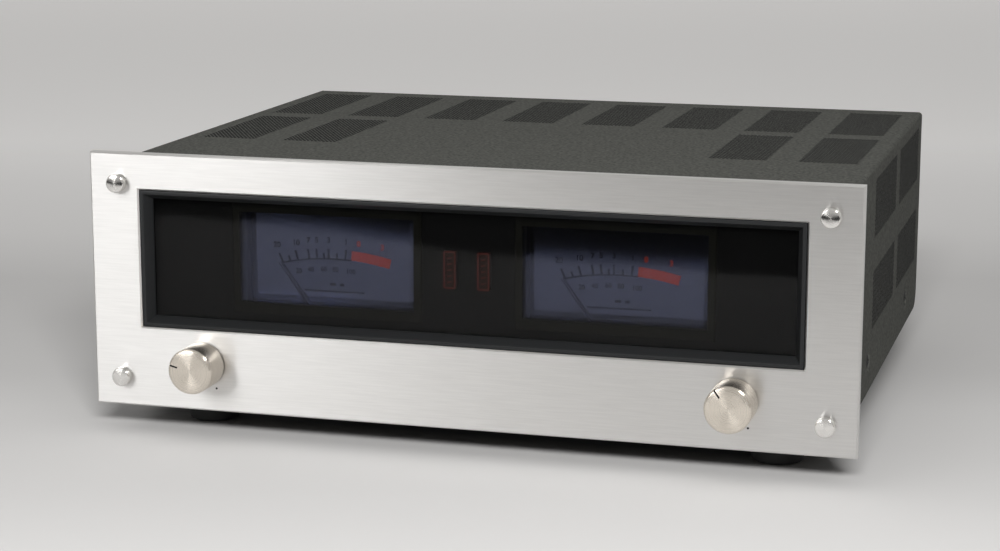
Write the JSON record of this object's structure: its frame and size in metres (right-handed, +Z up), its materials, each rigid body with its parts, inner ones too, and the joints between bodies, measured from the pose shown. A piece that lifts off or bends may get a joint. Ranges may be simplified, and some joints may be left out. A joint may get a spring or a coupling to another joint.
{
  "type": "stereo power amplifier",
  "caption": "Free-standing stereo power amplifier with a brushed faceplate, level meters behind a smoked window, gain knobs and a perforated cover.",
  "frame": {"origin": "centre of the overall box on the surface that the feet stand on", "axes": "+X to the right seen from the front, +Y from the faceplate to the rear panel, +Z up"},
  "size_m": [0.3906, 0.347, 0.146],
  "materials": {
    "brushed_aluminium": "fine horizontal brushing, clear anodised",
    "turned_aluminium": "turned and spun faces with bright edges",
    "bezel_plastic": "satin moulded",
    "smoked_acrylic": "polished smoke tint",
    "olive_plastic": "matt",
    "blue_acrylic": "polished blue tint",
    "blue_dial": "flat printed paint",
    "black_plastic": "satin moulded",
    "zinc_steel": "zinc plated",
    "cover_paint": "fine textured dark grey",
    "red_plastic": "gloss",
    "lamp_glass": "clear",
    "black_rubber": "matt",
    "core_steel": "varnished laminations",
    "copper_wire": "enamelled copper",
    "blue_sleeve": "shrink sleeve",
    "sink_aluminium": "extruded",
    "nickel": "nickel plated",
    "brown_board": "phenolic board"
  },
  "bodies": {
    "chassis": {"faceplate": "brushed_aluminium", "faceplate_screw_bottom_left": "turned_aluminium", "faceplate_screw_bottom_right": "turned_aluminium", "faceplate_screw_top_left": "turned_aluminium", "faceplate_screw_top_right": "turned_aluminium", "window_bezel": "bezel_plastic", "smoked_window": "smoked_acrylic", "meter_surround_left": "olive_plastic", "meter_surround_right": "olive_plastic", "meter_cover_left": "blue_acrylic", "meter_cover_right": "blue_acrylic", "meter_dial_left": "blue_dial", "meter_dial_right": "blue_dial", "meter_case_left": "black_plastic", "meter_case_right": "black_plastic", "indicator_light_box": "black_plastic", "speaker_terminal_housing": "black_plastic", "ac_outlets": "black_plastic", "fuse_holder": "black_plastic", "chassis_pan": "zinc_steel", "capacitor_clamp": "zinc_steel", "meter_movement_left": "zinc_steel", "meter_movement_right": "zinc_steel", "gain_pot_left": "zinc_steel", "gain_pot_right": "zinc_steel", "top_cover": "cover_paint", "sub_chassis": "cover_paint", "rear_panel": "cover_paint", "transformer_bell_front": "cover_paint", "transformer_bell_rear": "cover_paint", "indicator_lens": "red_plastic", "indicator_lamps": "lamp_glass", "cord_gland": "black_rubber", "foot_front_left": "black_rubber", "foot_front_right": "black_rubber", "foot_rear_left": "black_rubber", "foot_rear_right": "black_rubber", "transformer_core": "core_steel", "transformer_coil": "copper_wire", "filter_capacitor_left": "blue_sleeve", "filter_capacitor_right": "blue_sleeve", "heat_sink_left": "sink_aluminium", "heat_sink_right": "sink_aluminium", "output_module_left": "nickel", "output_module_right": "nickel", "input_jack_upper": "nickel", "input_jack_lower": "nickel", "driver_board_left": "brown_board", "driver_board_right": "brown_board", "supply_board": "brown_board"},
    "gain_knob_left": {"gain_knob_left": "turned_aluminium", "gain_shaft_left": "zinc_steel"},
    "gain_knob_right": {"gain_knob_right": "turned_aluminium", "gain_shaft_right": "zinc_steel"},
    "meter_needle_left": {"meter_needle_left": "black_plastic"},
    "meter_needle_right": {"meter_needle_right": "black_plastic"},
    "lever_left_plus": {"lever_left_plus": "red_plastic"},
    "lever_left_minus": {"lever_left_minus": "black_plastic"},
    "lever_right_plus": {"lever_right_plus": "red_plastic"},
    "lever_right_minus": {"lever_right_minus": "black_plastic"}
  },
  "joints": [
    {"name": "gain_left", "type": "hinge", "parent": "chassis", "child": "gain_knob_left", "pos_m": [-0.13609, -0.15595, 0.03954], "axis": [0, 1, 0], "range_deg": [-75, 225]},
    {"name": "gain_right", "type": "hinge", "parent": "chassis", "child": "gain_knob_right", "pos_m": [0.13609, -0.15595, 0.03954], "axis": [0, 1, 0], "range_deg": [-114.5, 185.5]},
    {"name": "level_left", "type": "hinge", "parent": "chassis", "child": "meter_needle_left", "pos_m": [-0.07389, -0.13345, 0.05075], "axis": [0, 1, 0], "range_deg": [0, 73], "stiffness_Nm_per_rad": 0.0002, "springref_deg": -20.05},
    {"name": "level_right", "type": "hinge", "parent": "chassis", "child": "meter_needle_right", "pos_m": [0.07389, -0.13345, 0.05075], "axis": [0, 1, 0], "range_deg": [0, 73], "stiffness_Nm_per_rad": 0.0002, "springref_deg": -20.05},
    {"name": "lever_left_plus_press", "type": "hinge", "parent": "chassis", "child": "lever_left_plus", "pos_m": [0.01391, 0.16005, 0.07733], "axis": [-1, 0, 0], "range_deg": [0, 25], "stiffness_Nm_per_rad": 0.02, "springref_deg": -11.46},
    {"name": "lever_left_minus_press", "type": "hinge", "parent": "chassis", "child": "lever_left_minus", "pos_m": [0.03441, 0.16005, 0.07733], "axis": [-1, 0, 0], "range_deg": [0, 25], "stiffness_Nm_per_rad": 0.02, "springref_deg": -11.46},
    {"name": "lever_right_plus_press", "type": "hinge", "parent": "chassis", "child": "lever_right_plus", "pos_m": [0.05491, 0.16005, 0.07733], "axis": [-1, 0, 0], "range_deg": [0, 25], "stiffness_Nm_per_rad": 0.02, "springref_deg": -11.46},
    {"name": "lever_right_minus_press", "type": "hinge", "parent": "chassis", "child": "lever_right_minus", "pos_m": [0.07541, 0.16005, 0.07733], "axis": [-1, 0, 0], "range_deg": [0, 25], "stiffness_Nm_per_rad": 0.02, "springref_deg": -11.46}
  ]
}
